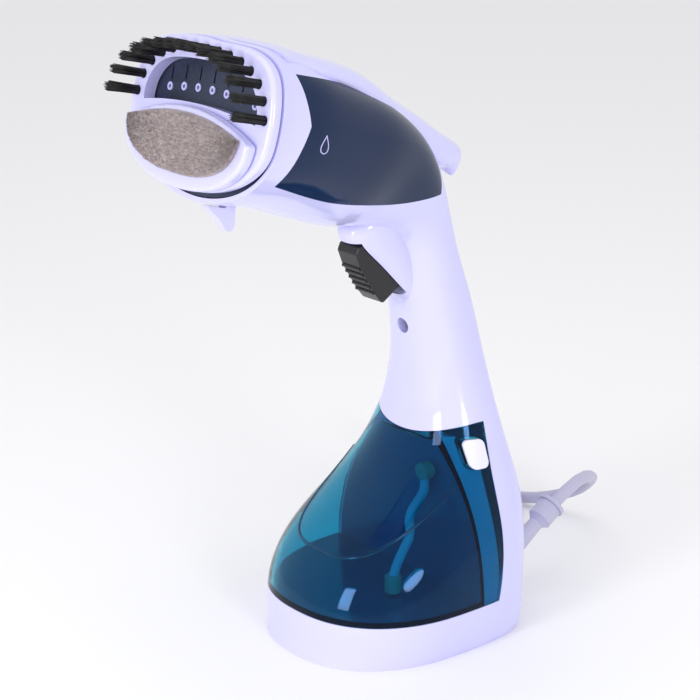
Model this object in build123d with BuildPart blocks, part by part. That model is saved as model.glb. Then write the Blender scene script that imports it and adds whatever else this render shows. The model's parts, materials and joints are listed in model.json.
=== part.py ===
"""Handheld garment steamer: a bent body with a steam head, a pull-off brush, a water tank and a mains lead.

Millimetres, +Z up. The origin is the centre of the base's underside, and the steam head faces -Y.
The body is one loft through the stations below, hollowed to a wall and parted along seams that are
drawn in the side view. The steam head has its own frame: s runs rearwards from the brush's front face
and v runs upwards, both square to X.
"""
import math
import os

from build123d import *

os.makedirs("parts", exist_ok=True)

# ---------------------------------------------------------------- driving dimensions
WALL = 2.2                       # housings
TANK_WALL = 2.0
SEAM_GAP = 0.3                   # between pieces that come apart
RUNNING_FIT = 0.05               # radial clearance of a pin or shaft in its bore
REACH = 120.0                    # further than any part of the body reaches from the middle plane
RING_POINTS = 24                 # points on a station's ring

HEAD_PITCH = math.radians(13.4)  # the head looks up by this much
HEAD_FACE_Y = -109.7             # the brush's front face on the head's axis
HEAD_FACE_Z = 258.0
FORWARD = Vector(0, -math.cos(HEAD_PITCH), math.sin(HEAD_PITCH))

BASE_HEIGHT = 22.0               # the white foot ring below the tank
SPINE_TOP = 215.0
HEAD_FRONT = 6.0                 # s where the body ends and the brush begins

TANK_TOP_FRONT = 98.5            # the tank's top edge at its nose, and at its sides
TANK_TOP_SIDE = 104.6
TANK_TOP_HALF_WIDTH = 31.7
BULKHEAD_Y = 13.0                # the tank's rear wall

CORD_DIAMETER = 6.4


def head_point(s, v):
    """Side-view place (y, z) of a point s behind the brush's face and v above the head's axis."""
    y = HEAD_FACE_Y + math.cos(HEAD_PITCH) * s + math.sin(HEAD_PITCH) * v
    z = HEAD_FACE_Z - math.sin(HEAD_PITCH) * s + math.cos(HEAD_PITCH) * v
    return (y, z)


def head_plane(s):
    """Plane across the head: local x is X, local y is v and the normal faces forwards."""
    y, z = head_point(s, 0)
    return Plane(origin=(0, y, z), x_dir=(1, 0, 0), z_dir=FORWARD)


# Body stations from the foot to the head: the ring's inner point (front, then under the head), its
# outer point (rear, then top), half width, where it is widest from the outer point, and how square
# the ring is on its inner and outer side (2 is an ellipse).
BODY = [
    ((-60.6, 0), (54.3, 0), 51.5, 0.44, 2.33, 4.0),
    ((-58.9, 8), (54.0, 8), 54.0, 0.44, 2.33, 4.0),
    ((-58.8, 22), (54.2, 22), 54.5, 0.44, 2.33, 4.0),
    ((-48.3, 45), (57.0, 45), 52.0, 0.44, 2.3, 3.6),
    ((-17.2, 70), (57.8, 70), 44.5, 0.45, 2.25, 3.2),
    ((5.1, 95), (52.6, 95), 35.5, 0.47, 2.2, 2.9),
    ((9.8, 118), (50.0, 118), 27.5, 0.5, 2.2, 2.6),
    ((8.7, 140), (46.7, 140), 22.0, 0.5, 2.2, 2.5),
    ((4.2, 165), (40.5, 165), 19.0, 0.5, 2.2, 2.5),
    ((0.5, 184), (33.0, 187), 18.0, 0.5, 2.2, 2.4),
    ((-5.0, 194), (30.0, 200), 18.0, 0.5, 2.2, 2.3),
    ((-15.0, 200.5), (27.0, 211), 19.5, 0.5, 2.2, 2.3),
    ((-28.0, 204), (22.0, 223), 23.0, 0.5, 2.2, 2.4),
    (head_point(78, -35), head_point(117, 13.5), 29.0, 0.5, 2.2, 2.6),
    (head_point(68, -34.7), head_point(93, 24), 36.0, 0.5, 2.2, 2.8),
    (head_point(56, -33.5), head_point(66, 31), 41.5, 0.52, 2.1, 3.0),
    (head_point(40, -31.5), head_point(44, 35), 46.0, 0.53, 2.0, 3.3),
    (head_point(22, -30), head_point(22, 38), 49.0, 0.54, 2.0, 3.6),
    (head_point(HEAD_FRONT, -30), head_point(HEAD_FRONT, 38.5), 49.5, 0.54, 2.0, 3.8),
]

# The top cover stands proud of the head and runs out behind it into a hanging tail.
TOP_COVER = [
    (head_point(13, 31), head_point(13, 39.3), 37.0, 0.5, 2.0, 2.6),
    (head_point(32, 27), head_point(30, 39.6), 37.5, 0.6, 2.0, 2.8),
    (head_point(52, 24), head_point(50, 38.5), 34.0, 0.6, 2.0, 2.8),
    (head_point(74, 17), head_point(72, 34.2), 28.0, 0.6, 2.0, 2.8),
    (head_point(94, 9), head_point(92, 27.3), 23.0, 0.6, 2.0, 2.8),
    (head_point(112, 1), head_point(112, 21.5), 18.0, 0.6, 2.0, 2.8),
    ((21.0, 223), (26.0, 239), 13.0, 0.6, 2.0, 2.8),
    ((28.0, 222), (38.0, 231.5), 8.0, 0.55, 2.0, 2.6),
    ((33.0, 219), (41.0, 226), 4.5, 0.5, 2.0, 2.4),
    ((36.5, 217.0), (38.4, 218.0), 1.2, 0.5, 2.0, 2.2),
]


def superellipse(half_width, up, down, up_power, down_power, count=RING_POINTS):
    """Closed ring of points, up above the widest place and down below it."""
    points = []
    for i in range(count):
        c = math.cos(2 * math.pi * i / count)
        s = math.sin(2 * math.pi * i / count)
        reach, power = (up, up_power) if c >= 0 else (down, down_power)
        x = half_width * math.copysign(abs(s) ** (2 / power), s)
        y = reach * math.copysign(abs(c) ** (2 / power), c)
        points.append((x, y))
    return points


def station_ring(station, inset):
    """Plane and ring of one station, drawn inwards by inset."""
    inner_point, outer_point, half_width, widest, inner_power, outer_power = station
    inner = Vector(0, *inner_point)
    outer = Vector(0, *outer_point)
    outward = (outer - inner).normalized()
    middle = outer + (inner - outer) * widest
    plane = Plane(origin=middle, x_dir=(1, 0, 0), z_dir=Vector(1, 0, 0).cross(outward))
    up = (outer - middle).length - inset
    down = (middle - inner).length - inset
    return plane, superellipse(half_width - inset, up, down, outer_power, inner_power)


def loft_through(stations, inset=0.0):
    """Solid through the stations' rings."""
    with BuildPart() as solid:
        for station in stations:
            plane, ring = station_ring(station, inset)
            with BuildSketch(plane):
                with BuildLine():
                    Spline(*ring, periodic=True)
                make_face()
        loft()
    return solid.part


def side_region(*edges):
    """Closed side-view region: each edge is a list of (y, z), smooth when it has more than two points."""
    with BuildSketch(Plane.YZ) as region:
        with BuildLine():
            for edge in edges:
                if len(edge) > 2:
                    Spline(*edge)
                else:
                    Line(*edge)
        make_face()
    return region.sketch


def keep_within(solid, region):
    """The part of a solid inside a side-view region."""
    with BuildPart() as piece:
        add(solid)
        extrude(region, amount=REACH, both=True, mode=Mode.INTERSECT)
    return piece.part


def keep_outside(solid, *regions):
    """The part of a solid outside side-view regions."""
    with BuildPart() as piece:
        add(solid)
        for region in regions:
            extrude(region, amount=REACH, both=True, mode=Mode.SUBTRACT)
    return piece.part


def save(part, name):
    """Label a finished piece and write it."""
    part.label = name
    export_step(part, f"parts/{name}.step")


# ---------------------------------------------------------------- the body's skin and its seams
outer_body = loft_through(BODY)
inner_body = loft_through(BODY, WALL)
with BuildPart() as skin_builder:
    add(outer_body)
    add(inner_body, mode=Mode.SUBTRACT)
skin = skin_builder.part

REAR_SEAM = [(12.7, SPINE_TOP), (17.8, 203), (21, 181), (24.5, 162), (29, 137), (31, 114),
             (29, 85), (28, 58), (26, 40), (22, BASE_HEIGHT)]
COLLAR_EDGE_TOP = [head_point(9, 44), head_point(14, 30), head_point(18.5, 19), head_point(21.2, 10.8)]
COLLAR_EDGE_LOW = [head_point(21.2, 10.8), head_point(18.6, 1), head_point(16, -8), head_point(17, -40)]
PANEL_TOP = [head_point(0, 30.5), head_point(37, 30), head_point(61, 27.8), head_point(86, 22),
             head_point(102, 15.5), head_point(116, 7.5), head_point(126, -2), (12.7, SPINE_TOP)]
PANEL_LOW = [head_point(0, -14), head_point(30, -18.5), head_point(52, -21), head_point(72, -20.8),
             head_point(94, -19.8), head_point(118, -16), (12.7, SPINE_TOP)]

rear_region = side_region(
    REAR_SEAM,
    [REAR_SEAM[-1], (-90, BASE_HEIGHT)],
    [(-90, BASE_HEIGHT), (-90, -10)],
    [(-90, -10), (90, -10)],
    [(90, -10), (90, SPINE_TOP)],
    [(90, SPINE_TOP), REAR_SEAM[0]],
)
collar_region = side_region(
    COLLAR_EDGE_TOP,
    COLLAR_EDGE_LOW,
    [COLLAR_EDGE_LOW[-1], head_point(-20, -60)],
    [head_point(-20, -60), head_point(-20, 60)],
    [head_point(-20, 60), COLLAR_EDGE_TOP[0]],
)
head_top_region = side_region(
    PANEL_TOP,
    [PANEL_TOP[-1], (90, SPINE_TOP)],
    [(90, SPINE_TOP), (90, 320)],
    [(90, 320), head_point(0, 60)],
    [head_point(0, 60), PANEL_TOP[0]],
)
panel_region = side_region(
    PANEL_LOW,
    [PANEL_LOW[-1], (90, SPINE_TOP)],
    [(90, SPINE_TOP), (90, 320)],
    [(90, 320), head_point(0, 60)],
    [head_point(0, 60), PANEL_LOW[0]],
)

# The tank's top edge is an arc in the front view, so that the tank can slide straight forwards.
with BuildSketch(Plane.XZ) as below_tank_top:
    with BuildLine():
        ThreePointArc(
            (-TANK_TOP_HALF_WIDTH, TANK_TOP_SIDE), (0, TANK_TOP_FRONT), (TANK_TOP_HALF_WIDTH, TANK_TOP_SIDE)
        )
        Polyline(
            (TANK_TOP_HALF_WIDTH, TANK_TOP_SIDE), (80, TANK_TOP_SIDE + 6), (80, -10), (-80, -10),
            (-80, TANK_TOP_SIDE + 6), (-TANK_TOP_HALF_WIDTH, TANK_TOP_SIDE)
        )
    make_face()

head_and_handle = keep_outside(skin, rear_region)
rear_skin = keep_within(skin, rear_region)
collar_skin = keep_within(head_and_handle, collar_region)
behind_collar = keep_outside(head_and_handle, collar_region)
head_top_skin = keep_within(behind_collar, head_top_region)
panel_skin = keep_within(keep_outside(behind_collar, head_top_region), panel_region)
handle_and_tank_skin = keep_outside(behind_collar, head_top_region, panel_region)


# ---------------------------------------------------------------- the trigger's place
TRIGGER_HALF_WIDTH = 7.0
TRIGGER_SLOT_HALF_WIDTH = 7.6
TRIGGER_PIN_HALF_LENGTH = 9.5
TRIGGER_PIVOT = (-6.0, 194.0)
TRIGGER_PIN_RADIUS = 1.5
TRIGGER_RIBS = 5
TRIGGER_HOOD = [                 # stations like the body's
    ((6.5, 160), (20.0, 160), 6.0, 0.5, 2.4, 2.0),
    ((-3.0, 170), (16.0, 170), 9.0, 0.5, 2.4, 2.0),
    ((-14.5, 182), (14.0, 182), 10.5, 0.5, 2.4, 2.0),
    ((-23.5, 190.5), (10.0, 190.5), 11.0, 0.5, 2.4, 2.0),
    ((-28.5, 197), (8.0, 197), 11.5, 0.5, 2.4, 2.0),
    ((-25.0, 205), (6.0, 205), 12.5, 0.5, 2.4, 2.0),
]
TRIGGER_SLOT = [(-40, 162), (-20, 160), (2, 166.5), (6.5, 171), (6.5, 199.5), (-40, 193.5)]
TRIGGER_OUTLINE = [(-27, 190.5), (-24, 183), (-16, 170.5), (-11, 164.6), (-3.5, 169.5), (3.0, 173),
                   (3.5, 190), (0, 197), (-12, 197), (-25.5, 194)]
TRIGGER_ROUNDING = 1.6


# ---------------------------------------------------------------- the brush latch's place
LATCH_HALF_WIDTH = 2.8
LATCH_PIVOT = (24.0, -24.5)      # s, v
LATCH_PIN_RADIUS = 1.2
LATCH_OUTLINE = [(26.5, -24.5), (26.5, -32.2), (27.8, -38), (26.8, -41.2), (23.6, -41.2), (18.5, -36),
                 (12.5, -32.6), (12.5, -31.4), (21.5, -31.4), (21.5, -24.5)]
LATCH_TIP_ROUNDING = 1.4
LATCH_POST = [(21, -29.5), (27, -29.5), (27, -22), (21, -22)]
LATCH_SLOT = [(20.8, -35), (28.4, -35), (28.4, -26.5), (20.8, -26.5)]


def side_points(outline):
    """Side-view places of an outline given in s and v."""
    return [head_point(s, v) for s, v in outline]


# ---------------------------------------------------------------- fasteners and the lead's swivel
BASE_PLATE_THICKNESS = 2.0
BASE_SCREW_PLACES = [(-40, 4), (40, 4), (0, -44), (0, 44)]
SCREW_HEAD_RADIUS = 3.0
SCREW_SHANK_RADIUS = 1.5
SCREW_LENGTH = 10.0
SWIVEL_BALL = (15.4, 52.1, 10.4)
BALL_RADIUS = 6.5
SLEEVE_TILT = math.radians(33)
SLEEVE_AXIS = Vector(0, math.cos(SLEEVE_TILT), math.sin(SLEEVE_TILT))
NECK_RADII = (5.0, 3.75)         # at the ball and at the sleeve


def neck_opening():
    """The room round the swivel's neck, outwards from the ball."""
    with BuildPart() as opening:
        with BuildSketch(Plane(origin=SWIVEL_BALL, z_dir=SLEEVE_AXIS)):
            Circle(NECK_RADII[0] + SEAM_GAP)
        extrude(amount=2 * BALL_RADIUS)
    return opening.part


# ---------------------------------------------------------------- housings
def make_base_and_spine():
    """Foot ring with its deck, and the spine behind the handle, in one moulding."""
    with BuildPart() as rear_housing:
        add(rear_skin)
        add(inside_body(WALL / 2, -REACH, REACH, BASE_HEIGHT - WALL, BASE_HEIGHT))
        with BuildSketch(Plane.XY.offset(BASE_PLATE_THICKNESS + 0.1)):
            with Locations(*BASE_SCREW_PLACES):
                Circle(2 * SCREW_SHANK_RADIUS)
                Circle(SCREW_SHANK_RADIUS + RUNNING_FIT, mode=Mode.SUBTRACT)
        extrude(amount=BASE_HEIGHT - WALL - BASE_PLATE_THICKNESS)
        with Locations(SWIVEL_BALL):
            Sphere(BALL_RADIUS + RUNNING_FIT, mode=Mode.SUBTRACT)
        add(neck_opening(), mode=Mode.SUBTRACT)
    return rear_housing.part


def make_handle():
    """Front shell of the handle and the head's underside, with the trigger's hood and slot."""
    with BuildPart() as handle_shell:
        add(handle_and_tank_skin)
        extrude(below_tank_top.sketch, amount=REACH, both=True, mode=Mode.SUBTRACT)
        add(loft_through(TRIGGER_HOOD))
        add(inner_body, mode=Mode.SUBTRACT)
        with BuildSketch(Plane.YZ):
            Polygon(*TRIGGER_SLOT, align=None)
        extrude(amount=TRIGGER_SLOT_HALF_WIDTH, both=True, mode=Mode.SUBTRACT)
        for side in (-1, 1):
            with BuildSketch(Plane.YZ.offset(side * (LATCH_HALF_WIDTH + 0.8))):
                Polygon(*side_points(LATCH_POST), align=None)
            extrude(amount=side * 2)
        with BuildSketch(Plane.YZ):
            Polygon(*side_points(LATCH_SLOT), align=None)
        extrude(amount=LATCH_HALF_WIDTH + SEAM_GAP, both=True, mode=Mode.SUBTRACT)
        with BuildSketch(Plane.YZ):
            with Locations(head_point(*LATCH_PIVOT)):
                Circle(LATCH_PIN_RADIUS)
        extrude(amount=LATCH_HALF_WIDTH + 2.8, both=True, mode=Mode.SUBTRACT)
    return handle_shell.part


def make_tank():
    """Water tank: skin in front and wings beside the bulkhead, closed behind by a flat rear wall."""
    floor_z = BASE_HEIGHT + SEAM_GAP
    with BuildPart() as water_tank:
        with BuildSketch(Plane.XZ):
            with BuildLine():
                ThreePointArc(
                    (-TANK_TOP_HALF_WIDTH, TANK_TOP_SIDE - SEAM_GAP),
                    (0, TANK_TOP_FRONT - SEAM_GAP),
                    (TANK_TOP_HALF_WIDTH, TANK_TOP_SIDE - SEAM_GAP),
                )
                Polyline(
                    (TANK_TOP_HALF_WIDTH, TANK_TOP_SIDE - SEAM_GAP), (60, TANK_TOP_SIDE), (60, floor_z),
                    (-60, floor_z), (-60, TANK_TOP_SIDE), (-TANK_TOP_HALF_WIDTH, TANK_TOP_SIDE - SEAM_GAP)
                )
            make_face()
        extrude(amount=REACH, both=True)
        add(outer_body, mode=Mode.INTERSECT)
        with BuildSketch(Plane.YZ):
            with BuildLine():
                Spline(*[(y - SEAM_GAP, z) for y, z in REAR_SEAM])
                Polyline(
                    (REAR_SEAM[-1][0] - SEAM_GAP, BASE_HEIGHT), (-70, BASE_HEIGHT), (-70, SPINE_TOP),
                    (REAR_SEAM[0][0] - SEAM_GAP, SPINE_TOP)
                )
            make_face()
        extrude(amount=REACH, both=True, mode=Mode.INTERSECT)
        add(tank_cavity, mode=Mode.SUBTRACT)
        add(inside_body(TANK_WALL, BULKHEAD_Y, BAY_REAR_Y, floor_z - SEAM_GAP, REACH), mode=Mode.SUBTRACT)
        with BuildSketch(Plane.YZ):
            with Locations(BUTTON_PLACE):
                RectangleRounded(BUTTON_LENGTH + 2 * SEAM_GAP, BUTTON_HEIGHT + 2 * SEAM_GAP, 3)
        extrude(amount=REACH, both=True, mode=Mode.SUBTRACT)
        with Locations(Plane.XZ.offset(-BULKHEAD_Y)):
            with Locations(VALVE_PLACE):
                Hole(VALVE_RADIUS, depth=2 * TANK_WALL)
    return water_tank.part


def slab(y_low, y_high, z_low, z_high):
    """Block across the body between two depths and two heights."""
    with BuildPart() as block:
        with BuildSketch(Plane.YZ):
            Polygon((y_low, z_low), (y_high, z_low), (y_high, z_high), (y_low, z_high), align=None)
        extrude(amount=REACH, both=True)
    return block.part


def inside_body(inset, y_low, y_high, z_low, z_high):
    """The space inside the body's skin drawn in by inset, between two depths and two heights."""
    with BuildPart() as space:
        add(loft_through(BODY[:9], inset))
        add(slab(y_low, y_high, z_low, z_high), mode=Mode.INTERSECT)
    return space.part


BUTTON_PLACE = (22.6, 91.0)
BUTTON_LENGTH = 10.0
BUTTON_HEIGHT = 13.0
BUTTON_PROUD = 0.8
BUTTON_TRAVEL = 2.5
VALVE_PLACE = (16.0, 80.0)
VALVE_RADIUS = 3.0
PORT_RADIUS = 2.6
TANK_ROOF = 96.0                 # underside of the tank's top wall
BULKHEAD_CLEARANCE = 0.5
BAY_REAR_Y = 34.0                # behind every part of the tank

tank_cavity = inside_body(
    TANK_WALL, -REACH, BULKHEAD_Y - TANK_WALL, BASE_HEIGHT + SEAM_GAP + TANK_WALL, TANK_ROOF
)


def make_bulkhead():
    """Bay behind the tank that holds the pump: open to the spine, with a window beside each button."""
    inset = TANK_WALL + BULKHEAD_CLEARANCE
    front = BULKHEAD_Y + BULKHEAD_CLEARANCE
    top = TANK_ROOF + TANK_WALL
    with BuildPart() as bulkhead:
        add(inside_body(inset, front, 24, BASE_HEIGHT, top))
        hollow = inside_body(
            inset + TANK_WALL, front + TANK_WALL, REACH, BASE_HEIGHT + TANK_WALL, top - TANK_WALL
        )
        add(hollow, mode=Mode.SUBTRACT)
        with BuildSketch(Plane.YZ):
            with Locations(BUTTON_PLACE):
                RectangleRounded(BUTTON_LENGTH + 2, BUTTON_HEIGHT + 2, 3)
        extrude(amount=REACH, both=True, mode=Mode.SUBTRACT)
        with Locations(Plane.XZ.offset(-front)):
            with Locations(VALVE_PLACE):
                Hole(PORT_RADIUS, depth=2 * TANK_WALL)
    return bulkhead.part


def make_tank_button(side):
    """Release button in the tank's wing, its face following the skin."""
    with BuildPart() as button:
        with BuildSketch(Plane.YZ.offset(side * 29)):
            with Locations(BUTTON_PLACE):
                RectangleRounded(BUTTON_LENGTH, BUTTON_HEIGHT, 3)
        extrude(amount=side * 20)
        add(proud_body, mode=Mode.INTERSECT)
    return button.part


proud_body = loft_through(BODY[3:8], -BUTTON_PROUD)


# ---------------------------------------------------------------- base
PAD_RADIUS = 6.0
PAD_THICKNESS = 1.2
PAD_PLACES = [(-32, -24), (32, -24), (-34, 38), (34, 38)]


def make_base_plate():
    """Bottom cover inside the foot ring, with pockets for the pads and holes for its screws."""
    with BuildPart() as base_plate:
        add(inside_body(WALL + SEAM_GAP, -REACH, REACH, 0, BASE_PLATE_THICKNESS))
        with BuildSketch(Plane.XY):
            with Locations(*PAD_PLACES):
                Circle(PAD_RADIUS + RUNNING_FIT)
        extrude(amount=PAD_THICKNESS, mode=Mode.SUBTRACT)
        with BuildSketch(Plane.XY):
            with Locations(*BASE_SCREW_PLACES):
                Circle(SCREW_HEAD_RADIUS + RUNNING_FIT)
        extrude(amount=BASE_PLATE_THICKNESS, mode=Mode.SUBTRACT)
    return base_plate.part


def make_base_pads():
    """Four anti-slip pads set flush in the base plate."""
    with BuildPart() as base_pads:
        with BuildSketch(Plane.XY):
            with Locations(*PAD_PLACES):
                Circle(PAD_RADIUS)
        extrude(amount=PAD_THICKNESS)
    return base_pads.part


def make_base_screws():
    """Four screws: heads sunk in the base plate, shanks running up towards the deck."""
    with BuildPart() as base_screws:
        with BuildSketch(Plane.XY.offset(0.4)):
            with Locations(*BASE_SCREW_PLACES):
                Circle(SCREW_HEAD_RADIUS)
        extrude(amount=BASE_PLATE_THICKNESS - 0.4)
        with BuildSketch(Plane.XY.offset(BASE_PLATE_THICKNESS)):
            with Locations(*BASE_SCREW_PLACES):
                Circle(SCREW_SHANK_RADIUS)
        extrude(amount=SCREW_LENGTH)
    return base_screws.part


# ---------------------------------------------------------------- handle screw
HANDLE_SCREW_Z = 149.0
HANDLE_SCREW_WELL_RADIUS = 3.75
HANDLE_SCREW_HEAD_Y = 12.0


def rearward_cylinder(x, z, radius, y_low, y_high):
    """Cylinder along Y between two depths."""
    with BuildPart() as rod:
        with BuildSketch(Plane(origin=(x, y_low, z), x_dir=(1, 0, 0), z_dir=(0, 1, 0))):
            Circle(radius)
        extrude(amount=y_high - y_low)
    return rod.part


def add_screw_bosses(front, rear):
    """Screw well in the handle's front and the boss it pulls against on the spine."""
    boss_face = 22.0
    with BuildPart() as handle_shell:
        add(front)
        add(rearward_cylinder(0, HANDLE_SCREW_Z, HANDLE_SCREW_WELL_RADIUS + 1.6, 9, boss_face))
        add(
            rearward_cylinder(0, HANDLE_SCREW_Z, HANDLE_SCREW_WELL_RADIUS, -5, HANDLE_SCREW_HEAD_Y + 2.4),
            mode=Mode.SUBTRACT,
        )
        add(
            rearward_cylinder(0, HANDLE_SCREW_Z, SCREW_SHANK_RADIUS + RUNNING_FIT, 0, boss_face + 1),
            mode=Mode.SUBTRACT,
        )
    with BuildPart() as spine:
        add(rear)
        add(rearward_cylinder(0, HANDLE_SCREW_Z, 4.2, boss_face, 43))
        add(
            rearward_cylinder(0, HANDLE_SCREW_Z, SCREW_SHANK_RADIUS + RUNNING_FIT, boss_face - 1, 36),
            mode=Mode.SUBTRACT,
        )
    return handle_shell.part, spine.part


def make_handle_screw():
    """Screw from the handle's well into the spine, with a crosshead recess."""
    with BuildPart() as handle_screw:
        head_rear = HANDLE_SCREW_HEAD_Y + 2.4
        add(rearward_cylinder(0, HANDLE_SCREW_Z, SCREW_HEAD_RADIUS, HANDLE_SCREW_HEAD_Y, head_rear))
        add(rearward_cylinder(0, HANDLE_SCREW_Z, SCREW_SHANK_RADIUS, head_rear, 34))
        head_place = (0, HANDLE_SCREW_HEAD_Y, HANDLE_SCREW_Z)
        with BuildSketch(Plane(origin=head_place, x_dir=(1, 0, 0), z_dir=(0, 1, 0))):
            Rectangle(3.2, 0.8)
            Rectangle(0.8, 3.2)
        extrude(amount=1.2, mode=Mode.SUBTRACT)
    return handle_screw.part


# ---------------------------------------------------------------- trigger and switch
TRIGGER_SPRING_Z = 177.0
TRIGGER_SPRING_RADIUS = 2.2
SPRING_WIRE_RADIUS = 0.35
SWITCH_SIZE = (6.4, 9.0, 12.0)
SWITCH_PLACE = (0.0, 13.0, 188.0)
SPRING_STOP_Y = 14.6


def make_trigger():
    """Finger trigger with ribs across its front and a bore for its pin."""
    with BuildPart() as trigger:
        with BuildSketch(Plane.YZ) as outline:
            Polygon(*TRIGGER_OUTLINE, align=None)
            fillet(outline.vertices(), TRIGGER_ROUNDING)
        extrude(amount=TRIGGER_HALF_WIDTH, both=True)
        fillet(trigger.faces().filter_by(Axis.X).edges(), 0.8)
        top, bottom = Vector(0, *TRIGGER_OUTLINE[1]), Vector(0, *TRIGGER_OUTLINE[2])
        for i in range(TRIGGER_RIBS):
            place = top + (bottom - top) * (i / (TRIGGER_RIBS - 1))
            with BuildSketch(Plane.YZ):
                with Locations((place.Y, place.Z)):
                    Circle(0.9)
            extrude(amount=TRIGGER_HALF_WIDTH - 1, both=True)
        with BuildSketch(Plane.YZ):
            with Locations(TRIGGER_PIVOT):
                Circle(TRIGGER_PIN_RADIUS + RUNNING_FIT)
        extrude(amount=REACH, both=True, mode=Mode.SUBTRACT)
    return trigger.part


def make_trigger_pin():
    """Pin through the hood that the trigger swings on."""
    with BuildPart() as trigger_pin:
        with BuildSketch(Plane.YZ):
            with Locations(TRIGGER_PIVOT):
                Circle(TRIGGER_PIN_RADIUS)
        extrude(amount=TRIGGER_PIN_HALF_LENGTH, both=True)
    return trigger_pin.part


def bore_for_trigger_pin(shell):
    """The hood with the pin's bore."""
    with BuildPart() as hood:
        add(shell)
        with BuildSketch(Plane.YZ):
            with Locations(TRIGGER_PIVOT):
                Circle(TRIGGER_PIN_RADIUS)
        extrude(amount=TRIGGER_PIN_HALF_LENGTH, both=True, mode=Mode.SUBTRACT)
    return hood.part


def make_trigger_spring():
    """Coil spring that pushes the trigger out again."""
    rear_face_y = 3.6
    length = 9.0
    with BuildPart() as trigger_spring:
        with BuildLine() as wire:
            Helix(
                pitch=length / 5, height=length, radius=TRIGGER_SPRING_RADIUS,
                center=(0, rear_face_y, TRIGGER_SPRING_Z), direction=(0, 1, 0)
            )
        with BuildSketch(Plane(origin=wire.line @ 0, z_dir=wire.line % 0)):
            Circle(SPRING_WIRE_RADIUS)
        sweep()
    return trigger_spring.part


def make_microswitch():
    """Snap switch with its button, facing the trigger."""
    with BuildPart() as microswitch:
        with Locations(SWITCH_PLACE):
            Box(*SWITCH_SIZE)
        fillet(microswitch.edges().filter_by(Axis.X), 0.8)
        x, y, z = SWITCH_PLACE
        front = y - SWITCH_SIZE[1] / 2
        add(rearward_cylinder(x, z - 2, 1.2, front - 1.4, front + 1))
        with Locations((x, y + SWITCH_SIZE[1] / 2 + 2, z - 4), (x, y + SWITCH_SIZE[1] / 2 + 2, z + 4)):
            Box(0.8, 4, 3)
    return microswitch.part


def make_switch_bracket():
    """Frame below the switch that backs it and the trigger's spring."""
    x, y, z = SWITCH_PLACE
    with BuildPart() as switch_bracket:
        with Locations((x, SPRING_STOP_Y, TRIGGER_SPRING_Z)):
            Box(16, 3, 7)
        with Locations((x, y + 1.5, z - SWITCH_SIZE[2] / 2 - 1.25)):
            Box(16, 9, 1.5)
    return switch_bracket.part


# ---------------------------------------------------------------- steam head
PLATE_FACE = HEAD_FRONT + 0.3
PLATE_THICKNESS = 2.6
STEAM_HOLES = [(x, 17 - 0.0025 * x * x) for x in range(-30, 31, 10)]
STEAM_HOLE_RADIUS = 0.9
EYELET_RADIUS = 1.8
GROOVE_WIDTH = 1.0
GROOVE_LENGTH = 6.0
GROOVE_DEPTH = 0.5
BLOCK_REAR = 46.0
LID_FRONT = 47.0
LID_REAR = 50.0
FUSE_PLACE = (-20.0, 6.0)
FUSE_HEIGHT = 4.0
SPIGOT_RADIUS = 1.15


def head_ring(inset, lift=0.0):
    """Ring of the collar's section drawn in by inset, its lowest point raised by lift."""
    half_width, widest = 49.5, 0.54
    up, down = 68.5 * widest, 68.5 * (1 - widest)
    shift = 38.5 - up
    ring = superellipse(half_width - inset, up - inset, down - inset - lift, 3.8, 2.0)
    return [(x, y + shift) for x, y in ring]


def head_solid(ring, s_front, s_rear):
    """Straight piece of the head between two places along its axis."""
    with BuildPart() as piece:
        with BuildSketch(head_plane(s_rear)):
            with BuildLine():
                Spline(*ring, periodic=True)
            make_face()
        extrude(amount=s_rear - s_front)
    return piece.part


def make_steam_plate():
    """Dark front plate with a row of steam holes and a groove rising from each."""
    with BuildPart() as steam_plate:
        add(head_solid(head_ring(WALL + 0.5), PLATE_FACE, PLATE_FACE + PLATE_THICKNESS))
        with BuildSketch(head_plane(PLATE_FACE)):
            with Locations(*STEAM_HOLES):
                Circle(EYELET_RADIUS)
        extrude(amount=-PLATE_THICKNESS, mode=Mode.SUBTRACT)
        with BuildSketch(head_plane(PLATE_FACE)):
            for x, v in STEAM_HOLES:
                with Locations((x, v + GROOVE_LENGTH)):
                    Rectangle(GROOVE_WIDTH, GROOVE_LENGTH)
        extrude(amount=-GROOVE_DEPTH, mode=Mode.SUBTRACT)
    return steam_plate.part


def make_steam_eyelets():
    """White bushes that line the steam holes."""
    with BuildPart() as steam_eyelets:
        with BuildSketch(head_plane(PLATE_FACE + PLATE_THICKNESS)):
            with Locations(*STEAM_HOLES):
                Circle(EYELET_RADIUS)
                Circle(STEAM_HOLE_RADIUS, mode=Mode.SUBTRACT)
        extrude(amount=PLATE_THICKNESS + 0.5)
    return steam_eyelets.part


def head_slot(half_width, v_low, v_high, s_front, s_rear, corner):
    """Rounded block in the head."""
    with BuildPart() as block:
        with BuildSketch(head_plane(s_rear)):
            with Locations((0, (v_low + v_high) / 2)):
                RectangleRounded(2 * half_width, v_high - v_low, corner)
        extrude(amount=s_rear - s_front)
    return block.part


def make_heater_block():
    """Cast steam chamber behind the plate, with its chamber open to the rear and to the steam holes."""
    front = PLATE_FACE + PLATE_THICKNESS
    with BuildPart() as heater_block:
        add(head_slot(38, -16, 26, front, BLOCK_REAR, 9))
        add(head_slot(33, -11, 21, front + 6, BLOCK_REAR, 6), mode=Mode.SUBTRACT)
        with BuildSketch(head_plane(front)):
            with Locations(*STEAM_HOLES):
                Circle(STEAM_HOLE_RADIUS)
        extrude(amount=-8, mode=Mode.SUBTRACT)
    return heater_block.part


def make_chamber_gasket():
    """Seal between the steam chamber and its lid."""
    with BuildPart() as chamber_gasket:
        add(head_slot(38, -16, 26, BLOCK_REAR, LID_FRONT, 9))
        add(head_slot(33, -11, 21, BLOCK_REAR, LID_FRONT, 6), mode=Mode.SUBTRACT)
    return chamber_gasket.part


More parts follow.
